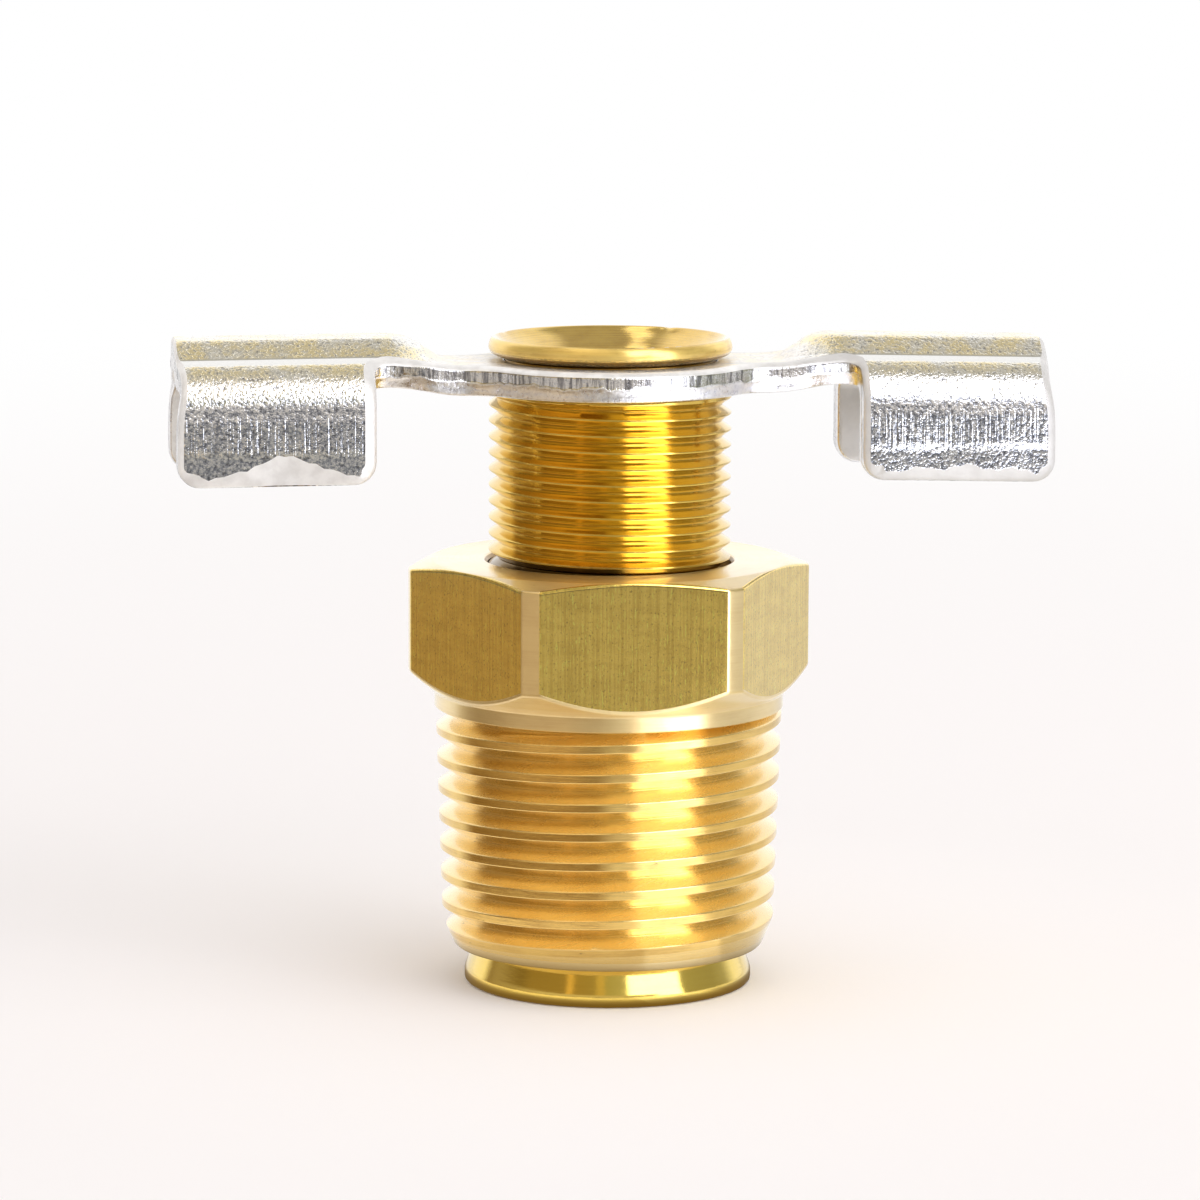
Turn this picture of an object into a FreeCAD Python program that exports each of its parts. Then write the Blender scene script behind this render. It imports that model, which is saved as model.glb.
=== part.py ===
import FreeCAD, Part
import os
import math
import Sketcher

# Drain cock: a hexagonal brass valve body with a tapered pipe thread, a hollow
# screw stem whose cone plug closes upward into the lower mouth of the body, and
# a stamped wing handle held on the stem by a spun-over lip.
# Millimetres. +Z runs up the valve's axis, the origin is the centre of the base,
# the handle lies along X.

V = FreeCAD.Vector
doc = FreeCAD.newDocument("drain_cock")

# ---------------------------------------------------------------- dimensions
dims = doc.addObject("Spreadsheet::Sheet", "Dims")
TABLE = [
    # stem
    ("plug_r", 8.95), ("plug_edge", 0.2), ("plug_rim", 0.8),
    ("neck_r", 6.4), ("plug_top", 7.8), ("neck_top", 12.4), ("neck_run", 13.5),
    ("shank_r", 7.5), ("shank_top", 37.1), ("shank_edge", 0.35),
    ("spigot_r", 6.5), ("lip_low", 39.05), ("lip_r", 7.52), ("lip_edge", 39.45),
    ("lip_side", 40.2), ("lip_top", 40.35), ("lip_crown", 7.4),
    ("flare_r", 6.9), ("flare_low", 40.15), ("flare_mid_r", 5.6), ("flare_mid", 39.1),
    ("outlet_r", 4.75), ("outlet_top", 38.0), ("outlet_low", 6.5), ("drill_tip", 3.65),
    ("port_r", 1.9), ("port_z", 10.1),
    # valve body
    ("end_z", 2.43), ("end_r", 9.65), ("lead_z", 4.2),
    ("thread_low_r", 10.36), ("thread_top_z", 17.0), ("thread_top_r", 10.76),
    ("collar_z", 17.4), ("collar_r", 10.85), ("hex_low", 18.35),
    ("corner_r", 12.5), ("corner_low", 19.74), ("corner_top", 26.08),
    ("hex_top", 26.56), ("crown_r", 11.0), ("hex_flats", 22.225),
    ("bore_r", 7.55), ("seat_r", 8.40), ("seat_top", 4.765),
    ("mouth_r", 7.8), ("mouth_z", 26.34),
    # pipe thread: 14 turns an inch, V groove with narrow flats, taper 1 in 16
    ("thread_pitch", 1.8143), ("thread_rise", 13.3), ("thread_angle", 1.7899),
    ("groove_z", 3.2914), ("groove_r", 10.331), ("groove_depth", 0.97),
    ("groove_flat", 0.04), ("groove_over", 0.35), ("groove_open", 0.802),
    # handle
    ("sheet", 1.8), ("ring_low", 37.15), ("ring_r", 8.7), ("hole_r", 6.55),
    ("web_low", 37.55), ("step_in", 10.0), ("step_out", 13.6),
    ("neck_half", 3.6), ("wing_in", 14.9), ("wing_out", 27.0),
    ("wing_half", 5.5), ("flange_low", 31.8),
    ("bend_out", 2.5), ("bend_in", 0.7), ("corner_fillet", 1.4),
    ("neck_fillet", 3.0),
    # bead pressed up along each wing, with a round nose on the neck
    ("bead_in", 13.6), ("bead_high", 1.08), ("bead_top_r", 1.5), ("bead_foot_r", 3.49),
    ("bead_sunk", 0.4), ("flute_top_r", 1.2), ("flute_high", 0.9),
    ("flute_under_r", 2.667), ("flute_under", 0.2),
]
VAL = {}
for i, (name, value) in enumerate(TABLE):
    cell = "B%d" % (i + 1)
    dims.set("A%d" % (i + 1), name)
    dims.set(cell, repr(value))
    dims.setAlias(cell, name)
    VAL[name] = value
doc.recompute()


def num(text):
    """Value of a small expression in the sheet's names."""
    total = 0.0
    for term in text.replace("-", "+-").split("+"):
        term = term.strip()
        if not term:
            continue
        sign = 1.0
        if term.startswith("-"):
            sign, term = -1.0, term[1:].strip()
        product = 1.0
        for factor in term.split("*"):
            factor = factor.strip()
            product *= VAL[factor] if factor in VAL else float(factor)
        total += sign * product
    return total


def cells(text):
    """The same expression, written with the sheet's aliases."""
    out = []
    word = ""
    for ch in text + " ":
        if ch.isalnum() or ch == "_" or ch == ".":
            word += ch
            continue
        if word:
            out.append("Dims." + word if word in VAL else word)
            word = ""
        out.append(ch)
    return "".join(out).strip()


def plane(body, role):
    for feature in body.Origin.OriginFeatures:
        if feature.Role == role:
            return feature
    raise RuntimeError("no plane " + role)


def new_sketch(body, name, role, lift=None):
    sketch = body.newObject("Sketcher::SketchObject", name)
    sketch.AttachmentSupport = [(plane(body, role), "")]
    sketch.MapMode = "FlatFace"
    if lift is not None:
        sketch.AttachmentOffset = FreeCAD.Placement(V(0, 0, num(lift)), FreeCAD.Rotation())
        sketch.setExpression("AttachmentOffset.Base.z", cells(lift))
    return sketch


def polygon(sketch, points):
    """Closed polygon; every corner is held by the sheet's dimensions."""
    first = sketch.GeometryCount
    xy = [(num(px), num(py)) for px, py in points]
    n = len(xy)
    for i in range(n):
        a, b = xy[i], xy[(i + 1) % n]
        sketch.addGeometry(Part.LineSegment(V(a[0], a[1], 0), V(b[0], b[1], 0)), False)
    for i in range(n):
        sketch.addConstraint(Sketcher.Constraint("Coincident", first + i, 2, first + (i + 1) % n, 1))
    for i, (px, py) in enumerate(points):
        for kind, text, value in (("DistanceX", px, xy[i][0]), ("DistanceY", py, xy[i][1])):
            if abs(value) < 1e-9:
                axis = -2 if kind == "DistanceX" else -1
                sketch.addConstraint(Sketcher.Constraint("PointOnObject", first + i, 1, axis))
                continue
            c = sketch.addConstraint(Sketcher.Constraint(kind, -1, 1, first + i, 1, value))
            sketch.setExpression("Constraints[%d]" % c, cells(text))


def circle(sketch, px, py, radius):
    x, y = num(px), num(py)
    g = sketch.addGeometry(Part.Circle(V(x, y, 0), V(0, 0, 1), num(radius)), False)
    for kind, text, value in (("DistanceX", px, x), ("DistanceY", py, y)):
        if abs(value) < 1e-9:
            axis = -2 if kind == "DistanceX" else -1
            sketch.addConstraint(Sketcher.Constraint("PointOnObject", g, 3, axis))
            continue
        c = sketch.addConstraint(Sketcher.Constraint(kind, -1, 1, g, 3, value))
        sketch.setExpression("Constraints[%d]" % c, cells(text))
    c = sketch.addConstraint(Sketcher.Constraint("Radius", g, num(radius)))
    sketch.setExpression("Constraints[%d]" % c, cells(radius))


def revolve(body, name, sketch):
    feature = body.newObject("PartDesign::Revolution", name)
    feature.Profile = sketch
    feature.ReferenceAxis = (sketch, ["V_Axis"])
    feature.Angle = 360.0
    doc.recompute()
    return feature


def pocket_through(body, name, sketch):
    before = body.Shape.Volume
    feature = body.newObject("PartDesign::Pocket", name)
    feature.Profile = sketch
    feature.Type = 1
    feature.Midplane = True
    doc.recompute()
    if feature.Shape.Volume >= before - 1e-6:
        raise RuntimeError(name + " cuts nothing")
    return feature


def edges_where(shape, test):
    names = []
    for i, edge in enumerate(shape.Edges):
        a, b = edge.Vertexes[0].Point, edge.Vertexes[-1].Point
        if isinstance(edge.Curve, Part.Line) and test(a, b):
            names.append("Edge%d" % (i + 1))
    return names


def fillet(body, name, radius, test):
    base = body.Tip
    names = edges_where(base.Shape, test)
    if not names:
        raise RuntimeError(name + " finds no edge")
    feature = body.newObject("PartDesign::Fillet", name)
    feature.Base = (base, names)
    feature.Radius = num(radius)
    feature.setExpression("Radius", cells(radius))
    doc.recompute()
    return feature


def near(a, b):
    return abs(a - b) < 1e-3


# ---------------------------------------------------------------- valve body
body = doc.addObject("PartDesign::Body", "valve_body")
body.Label = "valve_body"
sk = new_sketch(body, "body_section", "XZ_Plane")
polygon(sk, [
    ("seat_r", "end_z"),                    # lower mouth, on the seat cone
    ("end_r", "end_z"),
    ("thread_low_r", "lead_z"),             # lead-in ahead of the pipe thread
    ("thread_top_r", "thread_top_z"),       # taper of the thread's crests, 1 in 16
    ("collar_r", "collar_z"),
    ("collar_r", "hex_low"),
    ("corner_r", "corner_low"),             # lower chamfer of the hexagon
    ("corner_r", "corner_top"),
    ("crown_r", "hex_top"),                 # upper chamfer of the hexagon
    ("mouth_r", "hex_top"),
    ("bore_r", "mouth_z"),                  # countersink of the stem's bore
    ("bore_r", "seat_top"),
])
revolve(body, "body_turned", sk)

sk = new_sketch(body, "hex_flats_sketch", "XY_Plane")
half = "0.5*hex_flats"
corner_ratio = repr(1.0 / math.sqrt(3.0))
side = "%s*hex_flats" % repr(0.5 / math.sqrt(3.0))
point = "%s*hex_flats" % corner_ratio
polygon(sk, [
    (point, "0"), (side, half), ("-" + side, half),
    ("-" + point, "0"), ("-" + side, "-" + half), (side, "-" + half),
])
circle(sk, "0", "0", "corner_r+4")
pocket_through(body, "hex_milled", sk)

# right-hand pipe thread, cut as one helical groove
sk = new_sketch(body, "groove_sketch", "XZ_Plane")
polygon(sk, [
    ("groove_r-groove_depth", "groove_z-groove_flat"),
    ("groove_r+groove_over", "groove_z-groove_open"),
    ("groove_r+groove_over", "groove_z+groove_open"),
    ("groove_r-groove_depth", "groove_z+groove_flat"),
])
before = body.Shape.Volume
thread = body.newObject("PartDesign::SubtractiveHelix", "pipe_thread")
thread.Profile = sk
thread.ReferenceAxis = (sk, ["V_Axis"])
thread.Mode = 0
thread.LeftHanded = False
thread.Reversed = False
for prop, alias in (("Pitch", "thread_pitch"), ("Height", "thread_rise"), ("Angle", "thread_angle")):
    setattr(thread, prop, VAL[alias])
    thread.setExpression(prop, cells(alias))
doc.recompute()
if not before - 400 < body.Shape.Volume < before - 200:
    raise RuntimeError("the pipe thread is not cut as it should be")

# ---------------------------------------------------------------- stem
stem = doc.addObject("PartDesign::Body", "stem")
stem.Label = "stem"
sk = new_sketch(stem, "stem_section", "XZ_Plane")
polygon(sk, [
    ("0", "0"),
    ("plug_r-plug_edge", "0"),
    ("plug_r", "plug_edge"),
    ("plug_r", "plug_rim"),
    ("neck_r", "plug_top"),                 # cone that closes on the seat
    ("neck_r", "neck_top"),                 # relieved neck, water way
    ("shank_r", "neck_run"),
    ("shank_r", "shank_top-shank_edge"),
    ("shank_r-shank_edge", "shank_top"),    # shoulder under the handle
    ("spigot_r", "shank_top"),
    ("spigot_r", "lip_low"),
    ("lip_r", "lip_edge"),                  # lip spun over the handle
    ("lip_r", "lip_side"),
    ("lip_crown", "lip_top"),
    ("flare_r+0.2", "lip_top"),
    ("flare_r", "flare_low"),
    ("flare_mid_r", "flare_mid"),
    ("outlet_r", "outlet_top"),
    ("outlet_r", "outlet_low"),             # outlet bore, drilled from the top
    ("0", "drill_tip"),
])
revolve(stem, "stem_turned", sk)

sk = new_sketch(stem, "port_sketch", "XZ_Plane")
circle(sk, "0", "port_z", "port_r")
pocket_through(stem, "cross_port", sk)

# ---------------------------------------------------------------- handle
handle = doc.addObject("PartDesign::Body", "handle")
handle.Label = "handle"

# joggled strip: ring and necks low, webs of the wings a little higher
sk = new_sketch(handle, "strip_section", "XZ_Plane")
polygon(sk, [
    ("-wing_out", "web_low+sheet"), ("-step_out", "web_low+sheet"),
    ("-step_in", "ring_low+sheet"), ("step_in", "ring_low+sheet"),
    ("step_out", "web_low+sheet"), ("wing_out", "web_low+sheet"),
    ("wing_out", "web_low"), ("step_out", "web_low"),
    ("step_in", "ring_low"), ("-step_in", "ring_low"),
    ("-step_out", "web_low"), ("-wing_out", "web_low"),
])
pad = handle.newObject("PartDesign::Pad", "strip")
pad.Profile = sk
pad.Midplane = True
pad.Length = num("2*wing_half")
pad.setExpression("Length", cells("2*wing_half"))
doc.recompute()

# necks: the strip is blanked narrower between the wings
sk = new_sketch(handle, "neck_sketch", "XY_Plane")
for s in ("", "-"):
    polygon(sk, [
        ("-wing_in", s + "neck_half"), ("wing_in", s + "neck_half"),
        ("wing_in", s + "wing_half" + ("+1" if not s else "-1")),
        ("-wing_in", s + "wing_half" + ("+1" if not s else "-1")),
    ])
pocket_through(handle, "necks_blanked", sk)

# flanges of the two channels
sk = new_sketch(handle, "flange_sketch", "XY_Plane", lift="flange_low")
for sx in ("", "-"):
    for sy in ("", "-"):
        inner = sy + "wing_half" + ("-sheet" if not sy else "+sheet")
        polygon(sk, [
            (sx + "wing_in", inner), (sx + "wing_out", inner),
            (sx + "wing_out", sy + "wing_half"), (sx + "wing_in", sy + "wing_half"),
        ])
pad = handle.newObject("PartDesign::Pad", "flanges")
pad.Profile = sk
pad.Length = num("web_low+sheet-flange_low")
pad.setExpression("Length", cells("web_low+sheet-flange_low"))
doc.recompute()

# ring round the stem
sk = new_sketch(handle, "ring_sketch", "XY_Plane", lift="ring_low")
circle(sk, "0", "0", "ring_r")
pad = handle.newObject("PartDesign::Pad", "ring")
pad.Profile = sk
pad.Length = num("sheet")
pad.setExpression("Length", cells("sheet"))
doc.recompute()

ring_x = math.sqrt(VAL["ring_r"] ** 2 - VAL["neck_half"] ** 2)
web_top = VAL["web_low"] + VAL["sheet"]
fillet(handle, "neck_rounds", "neck_fillet", lambda a, b:
       near(a.x, b.x) and near(a.y, b.y) and near(abs(a.x), ring_x)
       and near(abs(a.y), VAL["neck_half"]))
fillet(handle, "bends_outside", "bend_out", lambda a, b:
       near(a.y, b.y) and near(a.z, b.z) and near(abs(a.y), VAL["wing_half"])
       and near(a.z, web_top) and abs(a.x - b.x) > 5)
fillet(handle, "bends_inside", "bend_in", lambda a, b:
       near(a.y, b.y) and near(a.z, b.z) and near(abs(a.y), VAL["wing_half"] - VAL["sheet"])
       and near(a.z, VAL["web_low"]) and abs(a.x - b.x) > 5)
fillet(handle, "flange_corners", "corner_fillet", lambda a, b:
       near(a.x, b.x) and near(a.z, b.z) and near(a.z, VAL["flange_low"])
       and abs(a.y - b.y) > 1)

sk = new_sketch(handle, "hole_sketch", "XY_Plane")
circle(sk, "0", "0", "hole_r")
pocket_through(handle, "hole", sk)

# beads: each wing carries a raised bead that runs out at the wing's end and
# stops in a round nose on the neck; a flute follows it on the underside
TOP = "web_low+sheet"
for side in ("right", "left"):
    sign = "" if side == "right" else "-"
    sk = new_sketch(handle, side + "_bead_section", "YZ_Plane",
                    lift="bead_in" if side == "right" else "-wing_out")
    polygon(sk, [
        ("-bead_foot_r", TOP + "-bead_sunk"), ("bead_foot_r", TOP + "-bead_sunk"),
        ("bead_top_r", TOP + "+bead_high"), ("-bead_top_r", TOP + "+bead_high"),
    ])
    before = handle.Shape.Volume
    pad = handle.newObject("PartDesign::Pad", side + "_bead")
    pad.Profile = sk
    pad.Length = num("wing_out-bead_in")
    pad.setExpression("Length", cells("wing_out-bead_in"))
    doc.recompute()
    if handle.Shape.Volume < before + 10:
        raise RuntimeError("the bead adds nothing")

    sk = new_sketch(handle, side + "_nose_section", "XZ_Plane")
    sk.AttachmentOffset = FreeCAD.Placement(V(num(sign + "bead_in"), 0, 0), FreeCAD.Rotation())
    sk.setExpression("AttachmentOffset.Base.x", cells(sign + "bead_in"))
    polygon(sk, [
        ("0", TOP + "-bead_sunk"), ("bead_foot_r", TOP + "-bead_sunk"),
        ("bead_top_r", TOP + "+bead_high"), ("0", TOP + "+bead_high"),
    ])
    revolve(handle, side + "_nose", sk)

    sk = new_sketch(handle, side + "_flute_section", "YZ_Plane",
                    lift="wing_out+1" if side == "right" else "-bead_in")
    polygon(sk, [
        ("-flute_under_r", "web_low-flute_under"), ("flute_under_r", "web_low-flute_under"),
        ("flute_top_r", "web_low+flute_high"), ("-flute_top_r", "web_low+flute_high"),
    ])
    before = handle.Shape.Volume
    cut = handle.newObject("PartDesign::Pocket", side + "_flute")
    cut.Profile = sk
    cut.Length = num("wing_out-bead_in+1")
    cut.setExpression("Length", cells("wing_out-bead_in+1"))
    doc.recompute()
    if handle.Shape.Volume > before - 10:
        raise RuntimeError("the flute cuts nothing")

    sk = new_sketch(handle, side + "_flute_nose_section", "XZ_Plane")
    sk.AttachmentOffset = FreeCAD.Placement(V(num(sign + "bead_in"), 0, 0), FreeCAD.Rotation())
    sk.setExpression("AttachmentOffset.Base.x", cells(sign + "bead_in"))
    polygon(sk, [
        ("0", "web_low-flute_under"), ("flute_under_r", "web_low-flute_under"),
        ("flute_top_r", "web_low+flute_high"), ("0", "web_low+flute_high"),
    ])
    before = handle.Shape.Volume
    cut = handle.newObject("PartDesign::Groove", side + "_flute_nose")
    cut.Profile = sk
    cut.ReferenceAxis = (sk, ["V_Axis"])
    cut.Angle = 360.0
    doc.recompute()
    if handle.Shape.Volume > before - 1:
        raise RuntimeError("the flute's nose cuts nothing")

# ---------------------------------------------------------------- checks, files
doc.recompute()
bad = [o.Name for o in doc.Objects if "Invalid" in o.State or "Error" in o.State]
if bad:
    raise RuntimeError("failed objects: " + ", ".join(bad))
parts = [body, stem, handle]
for p in parts:
    if p.Shape.isNull() or not p.Shape.isValid() or len(p.Shape.Solids) != 1:
        raise RuntimeError(p.Label + " has no valid single solid")

os.makedirs("parts", exist_ok=True)
for p in parts:
    p.Shape.exportStep("parts/%s.step" % p.Label)
    box = p.Shape.BoundBox
    print(p.Label, "volume %.1f" % p.Shape.Volume,
          "x %.2f..%.2f y %.2f..%.2f z %.2f..%.2f" % (
              box.XMin, box.XMax, box.YMin, box.YMax, box.ZMin, box.ZMax))
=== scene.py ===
import math
import bpy
import bmesh
import numpy as np
from mathutils import Matrix, Vector
from mathutils.geometry import delaunay_2d_cdt


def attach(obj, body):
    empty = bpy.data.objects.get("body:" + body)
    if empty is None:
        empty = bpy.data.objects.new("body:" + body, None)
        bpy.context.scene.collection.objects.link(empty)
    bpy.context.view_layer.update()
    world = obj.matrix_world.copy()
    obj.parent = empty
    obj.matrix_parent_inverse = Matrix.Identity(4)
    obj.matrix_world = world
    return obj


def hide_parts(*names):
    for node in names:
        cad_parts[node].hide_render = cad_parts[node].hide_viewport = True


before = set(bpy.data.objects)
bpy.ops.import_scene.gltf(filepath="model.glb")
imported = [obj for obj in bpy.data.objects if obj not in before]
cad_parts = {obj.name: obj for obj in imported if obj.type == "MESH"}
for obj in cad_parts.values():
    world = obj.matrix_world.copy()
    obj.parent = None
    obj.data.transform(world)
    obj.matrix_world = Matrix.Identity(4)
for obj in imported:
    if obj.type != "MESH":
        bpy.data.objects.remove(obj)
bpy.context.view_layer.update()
scene = bpy.context.scene
scene.view_settings.view_transform = "Standard"
scene.view_settings.look = "None"

MM = 0.001
CAM_AZ = math.radians(-97.85)   # azimuth of the camera about the valve's axis


# ------------------------------------------------------------------ node helpers
def new_material(name):
    m = bpy.data.materials.new(name)
    m.use_nodes = True
    nt = m.node_tree
    nt.nodes.clear()
    out = nt.nodes.new("ShaderNodeOutputMaterial")
    bsdf = nt.nodes.new("ShaderNodeBsdfPrincipled")
    nt.links.new(bsdf.outputs[0], out.inputs[0])
    return m, nt, bsdf


def feed(nt, socket, value):
    if isinstance(value, bpy.types.NodeSocket):
        nt.links.new(value, socket)
    else:
        socket.default_value = value


def math_node(nt, op, a, b=None, c=None, clamp=False):
    n = nt.nodes.new("ShaderNodeMath")
    n.operation = op
    n.use_clamp = clamp
    for i, v in enumerate((a, b, c)):
        if v is not None:
            feed(nt, n.inputs[i], v)
    return n.outputs[0]


def ramp(nt, value, lo, hi, a=0.0, b=1.0, smooth=True):
    n = nt.nodes.new("ShaderNodeMapRange")
    n.interpolation_type = "SMOOTHSTEP" if smooth else "LINEAR"
    n.clamp = True
    feed(nt, n.inputs["Value"], value)
    for key, v in (("From Min", lo), ("From Max", hi), ("To Min", a), ("To Max", b)):
        feed(nt, n.inputs[key], v)
    return n.outputs["Result"]


def mix_color(nt, fac, a, b, mode="MIX"):
    n = nt.nodes.new("ShaderNodeMix")
    n.data_type = "RGBA"
    n.blend_type = mode
    feed(nt, n.inputs["Factor"], fac)
    for key, v in (("A", a), ("B", b)):
        s = [i for i in n.inputs if i.name == key and i.type == "RGBA"][0]
        if not isinstance(v, bpy.types.NodeSocket):
            v = tuple(v) + (1.0,) if len(v) == 3 else v
        feed(nt, s, v)
    return [o for o in n.outputs if o.type == "RGBA"][0]


def combine(nt, x, y, z):
    n = nt.nodes.new("ShaderNodeCombineXYZ")
    for i, v in enumerate((x, y, z)):
        feed(nt, n.inputs[i], v)
    return n.outputs[0]


def noise(nt, vector, scale=1.0, detail=2.0, rough=0.5, distortion=0.0):
    n = nt.nodes.new("ShaderNodeTexNoise")
    nt.links.new(vector, n.inputs["Vector"])
    n.inputs["Scale"].default_value = scale
    n.inputs["Detail"].default_value = detail
    n.inputs["Roughness"].default_value = rough
    n.inputs["Distortion"].default_value = distortion
    return n.outputs[0]


def voronoi(nt, vector, scale, out="Color"):
    n = nt.nodes.new("ShaderNodeTexVoronoi")
    nt.links.new(vector, n.inputs["Vector"])
    n.inputs["Scale"].default_value = scale
    return n.outputs[out]


def bump(nt, height, strength, distance, normal=None):
    n = nt.nodes.new("ShaderNodeBump")
    n.inputs["Strength"].default_value = strength
    n.inputs["Distance"].default_value = distance
    nt.links.new(height, n.inputs["Height"])
    if normal is not None:
        nt.links.new(normal, n.inputs["Normal"])
    return n.outputs[0]


class Coords:
    """Position on the part in millimetres, with radius about the valve's axis."""

    def __init__(self, nt):
        self.nt = nt
        tc = nt.nodes.new("ShaderNodeTexCoord")
        s = nt.nodes.new("ShaderNodeVectorMath")
        s.operation = "SCALE"
        nt.links.new(tc.outputs["Object"], s.inputs[0])
        s.inputs["Scale"].default_value = 1000.0
        self.v = s.outputs[0]
        sep = nt.nodes.new("ShaderNodeSeparateXYZ")
        nt.links.new(self.v, sep.inputs[0])
        self.x, self.y, self.z = sep.outputs
        flat = combine(nt, self.x, self.y, 0.0)
        ln = nt.nodes.new("ShaderNodeVectorMath")
        ln.operation = "LENGTH"
        nt.links.new(flat, ln.inputs[0])
        self.r = ln.outputs["Value"]

    def scaled(self, kx, ky, kz):
        nt = self.nt
        return combine(nt, math_node(nt, "MULTIPLY", self.x, kx),
                       math_node(nt, "MULTIPLY", self.y, ky),
                       math_node(nt, "MULTIPLY", self.z, kz))

    def turned(self, k_line, k_round):
        """Lines left by turning: fast along the profile, slow round the axis."""
        nt = self.nt
        rz = math_node(nt, "ADD", math_node(nt, "MULTIPLY", self.r, 0.77), self.z)
        return combine(nt, math_node(nt, "MULTIPLY", self.x, k_round),
                       math_node(nt, "MULTIPLY", self.y, k_round),
                       math_node(nt, "MULTIPLY", rz, k_line))


# ------------------------------------------------------------------ materials
def filmed(bsdf, weight=1.0):
    """Thin clear film that whitens the brightest reflections."""
    bsdf.inputs["Coat Weight"].default_value = weight
    bsdf.inputs["Coat IOR"].default_value = 1.65
    bsdf.inputs["Coat Roughness"].default_value = 0.12


def brushed(nt, bsdf, amount, turn):
    """Stretches the highlights along or across the lines left by the tool."""
    t = nt.nodes.new("ShaderNodeTangent")
    t.direction_type = "RADIAL"
    t.axis = "Z"
    nt.links.new(t.outputs[0], bsdf.inputs["Tangent"])
    bsdf.inputs["Anisotropic"].default_value = amount
    bsdf.inputs["Anisotropic Rotation"].default_value = turn


def brass_turned(name, color, dark, rough, line_bump=0.25, stain=0.35, brush=0.0, nicks=0.5, film=1.0, metal=1.0, foot=None):
    """Lathe-turned brass: fine rings, patchy tarnish, small nicks."""
    m, nt, b = new_material(name)
    c = Coords(nt)
    lines = noise(nt, c.turned(9.0, 0.25), 1.0, 3.0, 0.6)
    fine = noise(nt, c.turned(34.0, 0.6), 1.0, 2.0, 0.6)
    patch = noise(nt, c.scaled(0.35, 0.35, 0.8), 1.0, 4.0, 0.6)
    grain = noise(nt, c.scaled(1.6, 1.6, 4.5), 1.0, 3.0, 0.6)
    tone = math_node(nt, "ADD", math_node(nt, "MULTIPLY", patch, 0.6), math_node(nt, "MULTIPLY", lines, 0.4))
    fac = ramp(nt, tone, 0.40, 0.68, 0.0, stain)
    col = mix_color(nt, fac, color, dark)
    pits = ramp(nt, grain, 0.70, 0.76, 0.0, nicks)
    col = mix_color(nt, pits, col, tuple(0.35 * v for v in dark))
    if foot is not None:
        # painted shade where this piece enters the next one, deepest on the -X side
        foot_edge = math_node(nt, "ADD", c.z, math_node(nt, "MULTIPLY", grain, 0.5))
        painted_foot_shade = math_node(nt, "MULTIPLY", ramp(nt, foot_edge, foot + 0.55, foot + 0.05, 0.0, 0.9), ramp(nt, c.x, 1.2, -1.2, 0.3, 1.0))
        col = mix_color(nt, painted_foot_shade, col, (0.09, 0.05, 0.015))
    feed(nt, b.inputs["Base Color"], col)
    b.inputs["Metallic"].default_value = metal
    r = math_node(nt, "ADD", math_node(nt, "MULTIPLY", fine, 0.16), math_node(nt, "MULTIPLY", patch, 0.12))
    feed(nt, b.inputs["Roughness"], math_node(nt, "ADD", r, rough - 0.14))
    n1 = bump(nt, lines, line_bump, 0.00002)
    n2 = bump(nt, fine, line_bump, 0.000008, n1)
    n3 = bump(nt, grain, 0.15, 0.00003, n2)
    nt.links.new(n3, b.inputs["Normal"])
    filmed(b, film)
    if brush:
        brushed(nt, b, brush, 0.25)
    return m


def brass_drawn(name, color, dark, rough):
    """Flats of drawn hexagon bar: lengthwise draw lines, scratches and handling marks."""
    m, nt, b = new_material(name)
    c = Coords(nt)
    draw = noise(nt, c.scaled(6.0, 6.0, 0.09), 1.0, 3.0, 0.65)
    fine = noise(nt, c.scaled(20.0, 20.0, 0.5), 1.0, 2.0, 0.6)
    cross = noise(nt, c.scaled(0.5, 0.5, 1.4), 1.0, 4.0, 0.65)
    grain = noise(nt, c.scaled(8.0, 8.0, 6.0), 1.0, 4.0, 0.65)
    scr = noise(nt, c.scaled(13.0, 13.0, 1.6), 1.0, 1.0, 0.5, 0.8)
    tone = math_node(nt, "ADD", math_node(nt, "MULTIPLY", draw, 0.6), math_node(nt, "MULTIPLY", cross, 0.4))
    col = mix_color(nt, ramp(nt, tone, 0.38, 0.62, 0.0, 1.0), color, dark)
    marks = ramp(nt, scr, 0.60, 0.72, 0.0, 0.8)
    col = mix_color(nt, marks, col, tuple(min(1.0, 1.25 * v) for v in color))
    pits = ramp(nt, grain, 0.56, 0.68, 0.0, 0.8)
    col = mix_color(nt, pits, col, tuple(0.45 * v for v in dark))
    feed(nt, b.inputs["Base Color"], col)
    b.inputs["Metallic"].default_value = 1.0
    r = math_node(nt, "ADD", math_node(nt, "MULTIPLY", fine, 0.06), math_node(nt, "MULTIPLY", cross, 0.06))
    feed(nt, b.inputs["Roughness"], math_node(nt, "ADD", r, rough - 0.06))
    n1 = bump(nt, draw, 0.05, 0.00003)
    n2 = bump(nt, fine, 0.06, 0.00001, n1)
    n3 = bump(nt, scr, 0.03, 0.00003, n2)
    n4 = bump(nt, grain, 0.04, 0.00003, n3)
    nt.links.new(n4, b.inputs["Normal"])
    filmed(b)
    brushed(nt, b, 0.35, 0.25)
    return m


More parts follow.
